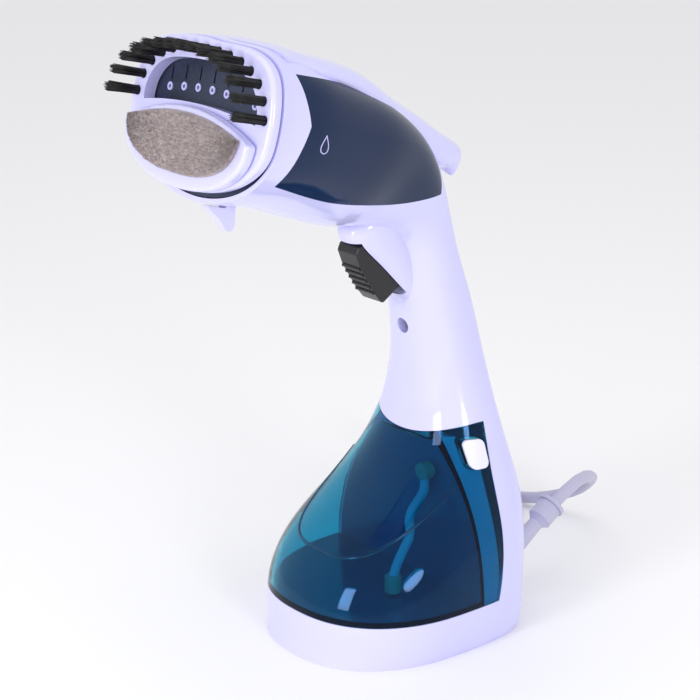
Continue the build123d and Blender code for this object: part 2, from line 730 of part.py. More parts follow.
def make_heater_cover():
    """Lid of the steam chamber with its water inlet."""
    with BuildPart() as heater_cover:
        add(head_slot(38, -16, 26, LID_FRONT, LID_REAR, 9))
        add(head_disc(0, 0, 3.2, LID_REAR, LID_REAR + 3))
        add(head_disc(0, 0, SPIGOT_RADIUS, LID_REAR + 3, LID_REAR + 7))
    return heater_cover.part


def head_disc(x, v, radius, s_front, s_rear):
    """Round part along the head's axis."""
    with BuildPart() as disc:
        with BuildSketch(head_plane(s_rear)):
            with Locations((x, v)):
                Circle(radius)
        extrude(amount=s_rear - s_front)
    return disc.part


def make_thermostat():
    """Bimetal thermostat on the chamber's lid."""
    with BuildPart() as thermostat:
        add(head_disc(18, 6, 8, LID_REAR, LID_REAR + 5))
        add(head_disc(18, 6, 5.5, LID_REAR + 5, LID_REAR + 10))
    return thermostat.part


def make_thermal_fuse():
    """One-shot fuse in its cup on the chamber's lid."""
    with BuildPart() as thermal_fuse:
        add(head_disc(*FUSE_PLACE, 4, LID_REAR, LID_REAR + FUSE_HEIGHT))
    return thermal_fuse.part


# ---------------------------------------------------------------- pull-off brush
BRUSH_REAR = HEAD_FRONT - SEAM_GAP
FRAME_LIFT = 4.0                 # the frame's lowest point is this much above the collar's
HOLDER_FRONT = -5.6
PAD_FRONT = -8.2
TUFT_RADIUS = 2.1
TUFT_LENGTH = 17.0
TUFT_ROOT_DEPTH = 2.0
TUFT_COUNT = 15
TUFT_RING = (45.2, 2.5, 31.0, 2.6)   # half width, height of its ends, rise, squareness
RING_STEPS = 360                 # fine steps along the ring, to measure distances on it


def tuft_places():
    """Places at even distances along the brush's upper ring."""
    half_width, ends, rise, power = TUFT_RING
    path = []
    for i in range(RING_STEPS + 1):
        turn = math.pi * i / RING_STEPS
        x = half_width * math.copysign(abs(math.cos(turn)) ** (2 / power), math.cos(turn))
        path.append((x, ends + rise * abs(math.sin(turn)) ** (2 / power)))
    travelled = [0.0]
    for here, there in zip(path, path[1:]):
        travelled.append(travelled[-1] + math.dist(here, there))
    places = []
    for i in range(TUFT_COUNT):
        distance = travelled[-1] * (i + 1) / (TUFT_COUNT + 1)
        nearest = min(range(len(path)), key=lambda step: abs(travelled[step] - distance))
        places.append(path[nearest])
    return places


def make_brush_frame():
    """Ring that clips over the steam head, with the half-moon opening for steam and the tufts' sockets."""
    with BuildPart() as brush_frame:
        add(head_solid(head_ring(0.5, FRAME_LIFT), 0, BRUSH_REAR))
        fillet(brush_frame.faces().sort_by(Axis.Y)[0].edges(), 2.0)
        with BuildSketch(head_plane(BRUSH_REAR)):
            with BuildLine():
                ThreePointArc((-39.4, 7.4), (0, 10.6), (39.4, 7.4))
                Spline((39.4, 7.4), (38, 17), (31, 24.5), (17, 28.2), (0, 29), (-17, 28.2), (-31, 24.5),
                       (-38, 17), (-39.4, 7.4))
            make_face()
        extrude(amount=20, mode=Mode.SUBTRACT)
        with BuildSketch(head_plane(0)):
            with Locations(*tuft_places()):
                Circle(TUFT_RADIUS + RUNNING_FIT)
        extrude(amount=-TUFT_ROOT_DEPTH, mode=Mode.SUBTRACT)
    return brush_frame.part


HOLDER_SHAPE = (43.5, -0.5, 9.2, -25.2)  # half width, and the heights of its corners, top and bottom
PAD_SHAPE = (38.5, 0.5, 7.0, -19.5)
HOLDER_ROUNDING = 1.8


def lens_sketch(s, shape):
    """Outline of the lint pad and its tray: nearly straight above, deep round below."""
    half_width, corner, top, bottom = shape
    depth = corner - bottom
    shoulder = (0.95 * half_width, corner - 0.37 * depth)
    cheek = (0.7 * half_width, corner - 0.76 * depth)
    with BuildSketch(head_plane(s)) as lens:
        with BuildLine():
            ThreePointArc((-half_width, corner), (0, top), (half_width, corner))
            Spline(
                (half_width, corner), shoulder, cheek, (0, bottom),
                (-cheek[0], cheek[1]), (-shoulder[0], shoulder[1]), (-half_width, corner)
            )
        make_face()
        fillet(lens.vertices(), HOLDER_ROUNDING)
    return lens.sketch


def make_pad_holder():
    """White tray on the frame's lower half that carries the pad."""
    with BuildPart() as pad_holder:
        extrude(lens_sketch(0, HOLDER_SHAPE), amount=-HOLDER_FRONT, dir=FORWARD)
        fillet(pad_holder.faces().sort_by(Axis.Y)[0].edges(), HOLDER_ROUNDING)
    return pad_holder.part


def make_lint_pad():
    """Fibre pad stuck in the tray."""
    with BuildPart() as lint_pad:
        extrude(lens_sketch(HOLDER_FRONT, PAD_SHAPE), amount=HOLDER_FRONT - PAD_FRONT, dir=FORWARD)
    return lint_pad.part


def make_bristle_tufts():
    """Tufts standing out of the frame's upper ring."""
    with BuildPart() as bristle_tufts:
        with BuildSketch(head_plane(TUFT_ROOT_DEPTH)):
            with Locations(*tuft_places()):
                Circle(TUFT_RADIUS)
        extrude(amount=TUFT_ROOT_DEPTH + TUFT_LENGTH)
    return bristle_tufts.part


def make_brush_latch():
    """Finger tab below the collar that lets the brush go, hung on a pin inside the shell."""
    with BuildPart() as brush_latch:
        with BuildSketch(Plane.YZ) as outline:
            Polygon(*side_points(LATCH_OUTLINE), align=None)
            fillet(outline.vertices().sort_by(Axis.Y)[:2], LATCH_TIP_ROUNDING)
            with Locations(head_point(*LATCH_PIVOT)):
                Circle(2.5)
                Circle(LATCH_PIN_RADIUS + RUNNING_FIT, mode=Mode.SUBTRACT)
        extrude(amount=LATCH_HALF_WIDTH, both=True)
    return brush_latch.part


def make_latch_pin():
    """Pin between the shell's two posts that the latch swings on."""
    with BuildPart() as latch_pin:
        with BuildSketch(Plane.YZ):
            with Locations(head_point(*LATCH_PIVOT)):
                Circle(LATCH_PIN_RADIUS)
        extrude(amount=LATCH_HALF_WIDTH + 2.8, both=True)
    return latch_pin.part


# ---------------------------------------------------------------- tubes
BEND_SHARE = 0.45                # how much of the shorter run beside a corner its bend takes


def bend_radii(route):
    """Bend radius at each corner of a route."""
    radii = []
    for before, corner, after in zip(route, route[1:], route[2:]):
        arriving = Vector(*corner) - Vector(*before)
        leaving = Vector(*after) - Vector(*corner)
        half_turn = math.radians(arriving.get_angle(leaving)) / 2
        radii.append(BEND_SHARE * min(arriving.length, leaving.length) / math.tan(half_turn))
    return radii


def make_tube(route, radius, bore=0.0):
    """Tube along straight runs joined by tangent arcs."""
    with BuildPart() as tube:
        with BuildLine() as path:
            FilletPolyline(*route, radius=bend_radii(route))
        with BuildSketch(Plane(origin=path.line @ 0, z_dir=path.line % 0)):
            Circle(radius)
            if bore:
                Circle(bore, mode=Mode.SUBTRACT)
        sweep()
    return tube.part


# ---------------------------------------------------------------- water circuit
HOSE_RADIUS = 2.4
HOSE_BORE = 1.2
PUMP_RADIUS = 9.0
PUMP_LOW = 30.0
PUMP_HIGH = 70.0
PUMP_Y = 36.0
INLET_Z = 34.0
VALVE_BODY_RADIUS = 4.2
VALVE_FRONT_Y = 5.8
SUCTION_RADIUS = 2.2
SUCTION_ROUTE = [(16, 8.2, 76.2), (16, 8.2, 70), (17, -3, 60), (18, -2, 50), (20, -12, 40),
                 (20, -15, 33)]
WEIGHT_RADIUS = 4.0
WEIGHT_LOW = 25.0
WEIGHT_HIGH = 34.0
INLET_HOSE = [(16, 18.1, 80), (16, 30, 80), (21, 36, 62), (21, 36, INLET_Z), (9.6, 36, INLET_Z)]
STEAM_HOSE = [(0, PUMP_Y, PUMP_HIGH + 0.1), (0, PUMP_Y, 88), (9, 31, 112), (9, 27, 142), (9, 26, 172),
              (9, 15, 203), (5, *head_point(92, -4)), (0, *head_point(68, 0)),
              (0, *head_point(LID_REAR + 3.1, 0))]


def make_pump():
    """Solenoid pump standing behind the bay, with its two spigots."""
    with BuildPart() as water_pump:
        with BuildSketch(Plane.XY.offset(PUMP_LOW)):
            with Locations((0, PUMP_Y)):
                Circle(PUMP_RADIUS)
        extrude(amount=PUMP_HIGH - PUMP_LOW)
        with BuildSketch(Plane.XY.offset(PUMP_LOW + 8)):
            with Locations((0, PUMP_Y)):
                RectangleRounded(24, 22, 3)
        extrude(amount=22)
        with BuildSketch(Plane.XY.offset(PUMP_HIGH)):
            with Locations((0, PUMP_Y)):
                Circle(SPIGOT_RADIUS)
        extrude(amount=4)
        with BuildSketch(Plane.YZ.offset(PUMP_RADIUS - 1)):
            with Locations((PUMP_Y, INLET_Z)):
                Circle(SPIGOT_RADIUS)
        extrude(amount=5)
    return water_pump.part


def make_pump_feet():
    """Rubber feet that carry the pump on the deck."""
    with BuildPart() as pump_feet:
        with BuildSketch(Plane.XY.offset(BASE_HEIGHT)):
            with Locations((-5, PUMP_Y), (5, PUMP_Y)):
                Rectangle(4, 12)
        extrude(amount=PUMP_LOW - BASE_HEIGHT)
    return pump_feet.part


def make_tank_valve():
    """Outlet bush in the tank's rear wall that carries the suction tube."""
    x, z = VALVE_PLACE
    with BuildPart() as tank_valve:
        add(rearward_cylinder(x, z, VALVE_BODY_RADIUS, VALVE_FRONT_Y, BULKHEAD_Y - TANK_WALL))
        add(rearward_cylinder(x, z, VALVE_RADIUS - RUNNING_FIT, VALVE_FRONT_Y, BULKHEAD_Y))
        add(rearward_cylinder(x, z, HOSE_BORE, VALVE_FRONT_Y + 2, REACH), mode=Mode.SUBTRACT)
    return tank_valve.part


def make_port_seal():
    """Silicone port in the bay's front wall, facing the tank's outlet."""
    x, z = VALVE_PLACE
    front = BULKHEAD_Y + BULKHEAD_CLEARANCE
    with BuildPart() as port_seal:
        add(rearward_cylinder(x, z, PORT_RADIUS - RUNNING_FIT, front, front + TANK_WALL))
        add(rearward_cylinder(x, z, VALVE_BODY_RADIUS, front + TANK_WALL, front + TANK_WALL + 2.5))
        add(rearward_cylinder(x, z, HOSE_BORE, 0, REACH), mode=Mode.SUBTRACT)
    return port_seal.part


def make_tube_weight():
    """Filter weight that keeps the suction tube's end down in the water."""
    x, y, _ = SUCTION_ROUTE[-1]
    with BuildPart() as tube_weight:
        with BuildSketch(Plane.XY.offset(WEIGHT_LOW)):
            with Locations((x, y)):
                Circle(WEIGHT_RADIUS)
        extrude(amount=WEIGHT_HIGH - WEIGHT_LOW)
        chamfer(tube_weight.faces().filter_by(Axis.Z).edges(), 0.8)
    return tube_weight.part


# ---------------------------------------------------------------- wiring
TERMINAL_PLACE = (-20.0, 40.0)
TERMINAL_HEIGHT = 10.0
LOOM_RADIUS = 1.8
LOOM = [(*TERMINAL_PLACE, BASE_HEIGHT + TERMINAL_HEIGHT), (*TERMINAL_PLACE, 62), (-12, 34, 90), (-9, 31, 120),
        (-9, 27, 150), (-9, 24, 178), (-9, 13, 204), (-10, *head_point(94, -4)), (-20, *head_point(72, 6)),
        (-20, *head_point(LID_REAR + FUSE_HEIGHT, 6))]
SWITCH_LEAD = [(-9, 23, 182), (-9, 20, 188), (-4, 19.6, 188), (-0.6, 19.6, 188)]


def make_terminal_block():
    """Block on the deck where the lead's wires meet the loom."""
    with BuildPart() as terminal_block:
        with BuildSketch(Plane.XY.offset(BASE_HEIGHT)):
            with Locations(TERMINAL_PLACE):
                RectangleRounded(18, 10, 1)
        extrude(amount=TERMINAL_HEIGHT)
        with BuildSketch(Plane.XY.offset(BASE_HEIGHT + TERMINAL_HEIGHT)):
            with Locations(TERMINAL_PLACE):
                with GridLocations(12, 0, 2, 1):
                    Circle(1.6)
        extrude(amount=-4, mode=Mode.SUBTRACT)
    return terminal_block.part


def make_wiring_loom():
    """Loom from the terminal block past the switch to the fuse."""
    with BuildPart() as wiring_loom:
        add(make_tube(LOOM, LOOM_RADIUS))
        add(make_tube(SWITCH_LEAD, 1.0))
    return wiring_loom.part


# ---------------------------------------------------------------- the lead's swivel
CORD_RADIUS = CORD_DIAMETER / 2
SWIVEL_LENGTH = 53.4             # from the ball's centre to the sleeve's outer end
SLEEVE_LENGTH = 12.0
SLEEVE_RADIUS = 6.3
FLANGE_RADIUS = 7.2
FLANGE_THICKNESS = 2.0
CORD_GRIP = 25.0                 # how deep the lead goes into the swivel


def sleeve_point(distance):
    """Point on the sleeve's axis at a distance from its outer end."""
    return tuple(Vector(*SWIVEL_BALL) + SLEEVE_AXIS * (SWIVEL_LENGTH + distance))


def make_cord_swivel():
    """Strain relief on a ball: tapered neck, then a sleeve with a flange, bored for the lead."""
    neck_start = math.sqrt(BALL_RADIUS ** 2 - NECK_RADII[0] ** 2)
    sleeve_start = SWIVEL_LENGTH - SLEEVE_LENGTH
    flange_start = SWIVEL_LENGTH - FLANGE_THICKNESS
    axis_plane = Plane(origin=SWIVEL_BALL, x_dir=SLEEVE_AXIS, z_dir=(1, 0, 0))
    with BuildPart() as cord_swivel:
        with BuildSketch(axis_plane):
            with BuildLine():
                ThreePointArc((-BALL_RADIUS, 0), (0, BALL_RADIUS), (neck_start, NECK_RADII[0]))
                Polyline(
                    (neck_start, NECK_RADII[0]),
                    (sleeve_start - 2, NECK_RADII[1]),
                    (sleeve_start, SLEEVE_RADIUS - 1),
                    (sleeve_start + 1, SLEEVE_RADIUS),
                    (flange_start, SLEEVE_RADIUS),
                    (flange_start, FLANGE_RADIUS),
                    (SWIVEL_LENGTH, FLANGE_RADIUS),
                    (SWIVEL_LENGTH, CORD_RADIUS + RUNNING_FIT),
                    (SWIVEL_LENGTH - CORD_GRIP, CORD_RADIUS + RUNNING_FIT),
                    (SWIVEL_LENGTH - CORD_GRIP, 0),
                    (-BALL_RADIUS, 0),
                )
            make_face()
        revolve(axis=Axis(SWIVEL_BALL, SLEEVE_AXIS))
    return cord_swivel.part


def make_swivel_socket():
    """Cup inside the foot ring that holds the swivel's ball."""
    x, y, z = SWIVEL_BALL
    with BuildPart() as swivel_socket:
        add(inside_body(WALL + 0.1, y - 9, y, BASE_PLATE_THICKNESS + 0.1, BASE_HEIGHT - WALL - 0.1))
        with BuildSketch(Plane.XZ):
            with Locations((x, 0)):
                Rectangle(18, 2 * REACH)
        extrude(amount=REACH, both=True, mode=Mode.INTERSECT)
        with Locations(SWIVEL_BALL):
            Sphere(BALL_RADIUS + RUNNING_FIT, mode=Mode.SUBTRACT)
        add(neck_opening(), mode=Mode.SUBTRACT)
    return swivel_socket.part


# ---------------------------------------------------------------- mains lead
COIL_CENTRE = (-86.0, 106.0)
COIL_RADIUS = 36.0
COIL_INSIDE = COIL_RADIUS - 1.5 * CORD_DIAMETER
COIL_OUTSIDE = COIL_RADIUS + 1.5 * CORD_DIAMETER
COIL_LAYERS = 3
COIL_TOP = COIL_LAYERS * CORD_DIAMETER
CORD_ROUTE = [sleeve_point(-CORD_GRIP + 2), sleeve_point(18), (-4.6, 151.5, 35.4), (-30, 163, 14),
              (-60, 151, CORD_RADIUS), (-92, 141.5, CORD_RADIUS)]
PLUG_ENTRY = (-103.0, 133.5, 26.2)
TAIL_ROUTE = [(-62.6, 68.1, 16), (-50.1, 90.9, 20), (-55, 116.4, 22.6), (-76, 133.5, 25), PLUG_ENTRY]
PLUG_STATIONS = [(0, 4.2, 4.2, 2), (12, 5.5, 5.2, 2), (22, 12, 6.8, 2.6), (36, 12.5, 7, 3)]
PIN_SPACING = 19.0
PIN_RADIUS = 2.4
PIN_LENGTH = 19.0
TIE_ANGLE = 200.0
TIE_THICKNESS = 1.2
TIE_WIDTH = 8.0


def make_coil():
    """The lead's put-away length: a ring three turns wide and high, its top layer two turns wide."""
    with BuildPart() as cord_coil:
        with BuildSketch(Plane(origin=(*COIL_CENTRE, 0), x_dir=(1, 0, 0), z_dir=(0, -1, 0))):
            step = COIL_TOP - CORD_DIAMETER
            Polygon(
                (COIL_INSIDE, 0), (COIL_OUTSIDE, 0), (COIL_OUTSIDE, COIL_TOP),
                (COIL_INSIDE + CORD_DIAMETER, COIL_TOP), (COIL_INSIDE + CORD_DIAMETER, step),
                (COIL_INSIDE, step), align=None
            )
        revolve(axis=Axis((*COIL_CENTRE, 0), (0, 0, 1)))
    return cord_coil.part


def make_cord_tie():
    """Band laid over the coil's turns."""
    band = Plane(origin=(*COIL_CENTRE, 0), z_dir=(0, 0, 1)).rotated((0, 0, TIE_ANGLE))
    middle = (COIL_INSIDE + COIL_OUTSIDE) / 2
    breadth = COIL_OUTSIDE - COIL_INSIDE
    with BuildPart() as cord_tie:
        with BuildSketch(band):
            with Locations((middle, 0)):
                Rectangle(breadth + 2 * TIE_THICKNESS, TIE_WIDTH)
        extrude(amount=COIL_TOP + TIE_THICKNESS)
        with BuildSketch(band):
            with Locations((middle, 0)):
                Rectangle(breadth + 0.8, TIE_WIDTH)
        extrude(amount=COIL_TOP + 0.05, mode=Mode.SUBTRACT)
    return cord_tie.part


def make_plug_body():
    """Moulded two-pin plug lying on the coil: a round tail that widens to a flat oval grip."""
    x, y, z = PLUG_ENTRY
    with BuildPart() as plug_body:
        for along, half_width, half_height, power in PLUG_STATIONS:
            ring = superellipse(half_width, half_height, half_height, power, power, 16)
            with BuildSketch(Plane(origin=(x - along, y, z), x_dir=(0, 1, 0), z_dir=(-1, 0, 0))):
                with BuildLine():
                    Spline(*ring, periodic=True)
                make_face()
        loft()
    return plug_body.part


def make_plug_pins():
    """Two round pins on the plug's face."""
    x, y, z = PLUG_ENTRY
    face = x - PLUG_STATIONS[-1][0]
    with BuildPart() as plug_pins:
        with BuildSketch(Plane(origin=(face, y, z), x_dir=(0, 1, 0), z_dir=(-1, 0, 0))):
            with Locations((-PIN_SPACING / 2, 0), (PIN_SPACING / 2, 0)):
                Circle(PIN_RADIUS)
        extrude(amount=PIN_LENGTH)
        fillet(plug_pins.faces().sort_by(Axis.X)[:2].edges(), 1.2)
    return plug_pins.part


# ---------------------------------------------------------------- all pieces
handle_shell, base_and_spine = add_screw_bosses(bore_for_trigger_pin(make_handle()), make_base_and_spine())
save(base_and_spine, "base_and_spine_housing")
save(handle_shell, "handle_shell")
save(collar_skin, "nozzle_collar")
save(head_top_skin, "head_top_shell")
for panel in panel_skin.solids():
    side_name = "right" if panel.center().X > 0 else "left"
    save(panel, f"side_panel_{side_name}")

with BuildPart() as top_cover:
    add(loft_through(TOP_COVER))
    add(loft_through(TOP_COVER[:7], WALL), mode=Mode.SUBTRACT)
    add(outer_body, mode=Mode.SUBTRACT)
save(top_cover.part, "top_cover")

save(make_tank(), "water_tank")
save(make_bulkhead(), "pump_bay")
save(make_tank_button(1), "tank_button_right")
save(make_tank_button(-1), "tank_button_left")
save(make_tank_valve(), "tank_valve")
save(make_tube(SUCTION_ROUTE, SUCTION_RADIUS), "suction_tube")
save(make_tube_weight(), "tube_weight")

save(make_base_plate(), "base_plate")
save(make_base_pads(), "base_pads")
save(make_base_screws(), "base_screws")
save(make_handle_screw(), "handle_screw")

save(make_trigger(), "trigger")
save(make_trigger_pin(), "trigger_pin")
save(make_trigger_spring(), "trigger_spring")
save(make_microswitch(), "microswitch")
save(make_switch_bracket(), "switch_bracket")

save(make_steam_plate(), "steam_plate")
save(make_steam_eyelets(), "steam_eyelets")
save(make_heater_block(), "heater_block")
save(make_chamber_gasket(), "chamber_gasket")
save(make_heater_cover(), "heater_cover")
save(make_thermostat(), "thermostat")
save(make_thermal_fuse(), "thermal_fuse")

save(make_brush_frame(), "brush_frame")
save(make_pad_holder(), "pad_holder")
save(make_lint_pad(), "lint_pad")
save(make_bristle_tufts(), "bristle_tufts")
save(make_brush_latch(), "brush_latch")
save(make_latch_pin(), "latch_pin")

save(make_pump(), "water_pump")
save(make_pump_feet(), "pump_feet")
save(make_port_seal(), "port_seal")
save(make_tube(INLET_HOSE, HOSE_RADIUS, HOSE_BORE), "pump_inlet_hose")
save(make_tube(STEAM_HOSE, HOSE_RADIUS, HOSE_BORE), "heater_hose")
save(make_terminal_block(), "terminal_block")
save(make_wiring_loom(), "wiring_loom")

save(make_cord_swivel(), "cord_swivel")
save(make_swivel_socket(), "swivel_socket")
cord_tube = make_tube(CORD_ROUTE, CORD_RADIUS)
save(cord_tube, "cord_tube")
save(make_coil(), "cord_coil")
save(make_tube(TAIL_ROUTE, CORD_RADIUS), "cord_tail")
save(make_cord_tie(), "cord_tie")
save(make_plug_body(), "plug_body")
save(make_plug_pins(), "plug_pins")

print("tank holds", round(tank_cavity.volume / 1000), "ml")
for route_name, route in (("lead", CORD_ROUTE), ("tail", TAIL_ROUTE)):
    centre_line = FilletPolyline(*route, radius=bend_radii(route))
    section = math.pi * CORD_RADIUS ** 2
    print(route_name, "bends", [round(radius, 1) for radius in bend_radii(route)],
          "length", round(centre_line.length, 1), "section x length", round(section * centre_line.length))
print("lead volume", round(cord_tube.volume))
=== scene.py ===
"""Garment steamer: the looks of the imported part. Metres, +Z up, the steam head faces -Y."""
import json
import math
import random

import bmesh
import bpy
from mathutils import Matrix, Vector
from mathutils.bvhtree import BVHTree


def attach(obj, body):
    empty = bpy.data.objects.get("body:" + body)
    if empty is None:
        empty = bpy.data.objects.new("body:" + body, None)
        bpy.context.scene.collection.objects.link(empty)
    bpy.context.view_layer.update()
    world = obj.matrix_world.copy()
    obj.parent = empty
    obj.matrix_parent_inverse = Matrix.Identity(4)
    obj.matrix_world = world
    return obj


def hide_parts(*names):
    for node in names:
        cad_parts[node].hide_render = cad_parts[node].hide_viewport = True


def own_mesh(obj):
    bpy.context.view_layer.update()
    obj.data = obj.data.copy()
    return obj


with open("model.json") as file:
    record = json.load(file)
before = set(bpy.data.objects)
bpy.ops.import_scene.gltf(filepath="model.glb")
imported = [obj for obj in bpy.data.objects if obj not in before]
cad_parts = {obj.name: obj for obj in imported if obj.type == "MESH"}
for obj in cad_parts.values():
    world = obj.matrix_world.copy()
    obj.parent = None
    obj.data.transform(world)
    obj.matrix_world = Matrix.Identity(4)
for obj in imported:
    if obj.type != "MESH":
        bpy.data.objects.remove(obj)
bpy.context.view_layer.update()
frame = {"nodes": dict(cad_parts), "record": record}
nodes = frame["nodes"]
rng = random.Random(7)

MM = 0.001
HEAD_PITCH = math.radians(13.4)
CORD_DIAMETER = 6.4 * MM
RAY_START = 200 * MM             # how far outside a surface a ray towards it starts

# ---------------------------------------------------------------- the steam head's own frame
HEAD_FACE = Vector((0, -109.7, 258.0)) * MM
HEAD_FORWARD = Vector((0, -math.cos(HEAD_PITCH), math.sin(HEAD_PITCH)))
HEAD_UP = Vector((0, math.sin(HEAD_PITCH), math.cos(HEAD_PITCH)))


def head_place(x, v, s):
    """Point x across, v above the head's axis and s behind the brush's face, given in millimetres."""
    return HEAD_FACE + Vector((x, 0, 0)) * MM + HEAD_UP * (v * MM) - HEAD_FORWARD * (s * MM)


# ---------------------------------------------------------------- camera, floor and light
scene = bpy.context.scene
camera_data = bpy.data.cameras.new("camera")
camera_data.lens = 100.29
camera = bpy.data.objects.new("camera", camera_data)
camera.location = (0.6557, -0.5752, 0.4216)
look_at = Vector((0, -0.025, 0.1435))
camera.rotation_euler = (look_at - camera.location).to_track_quat("-Z", "Y").to_euler()
scene.collection.objects.link(camera)
scene.camera = camera
scene.view_settings.view_transform = "Standard"


def simple_material(name):
    """New material and its Principled shader."""
    material = bpy.data.materials.new(name)
    material.use_nodes = True
    return material, material.node_tree.nodes["Principled BSDF"]


def make_floor():
    """Plain pale floor."""
    bpy.ops.mesh.primitive_plane_add(size=6)
    floor = bpy.context.object
    floor.name = "floor"
    material, shader = simple_material("floor_pale")
    shader.inputs["Base Color"].default_value = (0.93, 0.93, 0.93, 1)
    shader.inputs["Roughness"].default_value = 0.7
    floor.data.materials.append(material)


def add_softbox(name, shape, location, aim, size, power):
    """Studio light with a flat face, aimed at a point."""
    data = bpy.data.lights.new(name, "AREA")
    data.shape = shape
    data.size, data.size_y = size
    data.energy = power
    light = bpy.data.objects.new(name, data)
    light.location = location
    light.rotation_euler = (Vector(aim) - Vector(location)).to_track_quat("-Z", "Y").to_euler()
    scene.collection.objects.link(light)


def make_studio():
    """White surroundings, a tall softbox left of the camera, a round one right of it, one above."""
    world = bpy.data.worlds.new("studio")
    world.use_nodes = True
    background = world.node_tree.nodes["Background"]
    background.inputs["Color"].default_value = (0.97, 0.97, 1.0, 1)
    background.inputs["Strength"].default_value = 0.85
    scene.world = world
    middle = (0, -0.02, 0.16)
    add_softbox("softbox_left", "RECTANGLE", (0.15, -1.15, 0.40), middle, (0.28, 0.55), 5)
    add_softbox("softbox_right", "DISK", (1.12, -0.28, 0.46), middle, (0.32, 0.32), 3)
    add_softbox("softbox_top", "RECTANGLE", (-0.1, -0.1, 1.3), middle, (0.9, 0.9), 2)


make_floor()
make_studio()

# ---------------------------------------------------------------- the lead, in millimetres
SLEEVE_TILT = math.radians(33)
SLEEVE_AXIS = Vector((0, math.cos(SLEEVE_TILT), math.sin(SLEEVE_TILT)))
SWIVEL_BALL = Vector((15.4, 52.1, 10.4))
SWIVEL_LENGTH = 53.4
CORD_GRIP = 25.0                 # how far the lead runs inside the sleeve
COIL_CENTRE = Vector((-86, 106, 0))
COIL_RADIUS = 36.0
COIL_TURNS_PER_LAYER = 3
COIL_ENTRY_ANGLE = 99.6
COIL_EXIT_ANGLE = 301.7
COIL_WHOLE_TURNS = 7
COIL_POINTS_PER_TURN = 18
SHIFT_TURN = 0.5                 # part of a turn that a step to the next place takes
LEAD_DROP = [(-4.6, 151.5, 35.4), (-30, 163, 14)]
LEAD_TAIL = [(-54, 86, 18.5), (-49, 103, 21), (-55, 120, 22.8), (-72, 131, 25), (-103, 133.5, 26.2)]


def sleeve_place(distance):
    """Point on the sleeve's axis at a distance from its outer end, in millimetres."""
    return SWIVEL_BALL + SLEEVE_AXIS * (SWIVEL_LENGTH + distance)


def coil_place(turn):
    """Point of the coil's winding: three turns inwards, three outwards on them, then the top ones."""
    step = CORD_DIAMETER / MM
    index = int(turn)
    eased = min(max((turn - index - 1 + SHIFT_TURN) / SHIFT_TURN, 0), 1)
    eased = eased * eased * (3 - 2 * eased)

    def column_and_layer(number):
        """Place across and above the coil's first turn."""
        layer, place = divmod(number, COIL_TURNS_PER_LAYER)
        column = 1 - place if layer % 2 == 0 else place - 1
        return column, layer

    column, layer = column_and_layer(index)
    next_column, next_layer = column_and_layer(index + 1)
    radius = COIL_RADIUS + step * (column + (next_column - column) * eased)
    height = step * (0.5 + layer + (next_layer - layer) * eased)
    angle = math.radians(COIL_ENTRY_ANGLE) + 2 * math.pi * turn
    return COIL_CENTRE + Vector((radius * math.cos(angle), radius * math.sin(angle), height))


def make_lead():
    """One spline from the sleeve through the coil to the plug."""
    radius = CORD_DIAMETER / MM / 2
    turns = COIL_WHOLE_TURNS + (COIL_EXIT_ANGLE - COIL_ENTRY_ANGLE) / 360
    count = int(turns * COIL_POINTS_PER_TURN)
    start = sleeve_place(2 - CORD_GRIP)
    route = [start, sleeve_place(18), *LEAD_DROP, (-60, 151, radius)]
    route += [coil_place(turns * i / count) for i in range(count + 1)]
    route += LEAD_TAIL
    curve = bpy.data.curves.new("mains_lead", "CURVE")
    curve.dimensions = "3D"
    spline = curve.splines.new("NURBS")
    spline.points.add(len(route) - 1)
    for point, place in zip(spline.points, route):
        point.co = (*(Vector(place) * MM), 1)
        point.radius = CORD_DIAMETER / 2
    spline.order_u = 3
    spline.use_endpoint_u = True
    spline.resolution_u = 4
    curve.bevel_depth = 1.0          # times each point's radius
    curve.bevel_resolution = 5
    curve.use_fill_caps = True
    lead = bpy.data.objects.new("mains_lead", curve)
    scene.collection.objects.link(lead)
    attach(lead, "housing")
    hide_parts("cord_tube", "cord_coil", "cord_tail")
    return lead


lead = make_lead()


# ---------------------------------------------------------------- materials
def add_node(material, kind, **values):
    """Shader node with its inputs set by name."""
    node = material.node_tree.nodes.new(kind)
    for name, value in values.items():
        node.inputs[name].default_value = value
    return node


def link(material, source, target):
    """Joins an output socket to an input socket."""
    material.node_tree.links.new(source, target)


def place_node(material):
    """Output giving the place on the object, in metres."""
    return add_node(material, "ShaderNodeTexCoord").outputs["Object"]


def noise(material, scale, detail=4.0):
    """Noise value over the object."""
    node = add_node(material, "ShaderNodeTexNoise", Scale=scale, Detail=detail)
    link(material, place_node(material), node.inputs["Vector"])
    return node.outputs["Fac"]


def spread(material, value, low, high):
    """A 0 to 1 value spread over a range."""
    node = material.node_tree.nodes.new("ShaderNodeMapRange")
    node.inputs["To Min"].default_value = low
    node.inputs["To Max"].default_value = high
    link(material, value, node.inputs["Value"])
    return node.outputs["Result"]


def bump(material, shader, height, strength, distance):
    """Bump on the shader's normal."""
    node = add_node(material, "ShaderNodeBump", Strength=strength, Distance=distance)
    link(material, height, node.inputs["Height"])
    link(material, node.outputs["Normal"], shader.inputs["Normal"])


def two_colors(material, shader, value, first, second):
    """Base colour that runs from one colour to another."""
    node = material.node_tree.nodes.new("ShaderNodeMix")
    node.data_type = "RGBA"
    node.inputs["A"].default_value = (*first, 1)
    node.inputs["B"].default_value = (*second, 1)
    link(material, value, node.inputs["Factor"])
    link(material, node.outputs["Result"], shader.inputs["Base Color"])


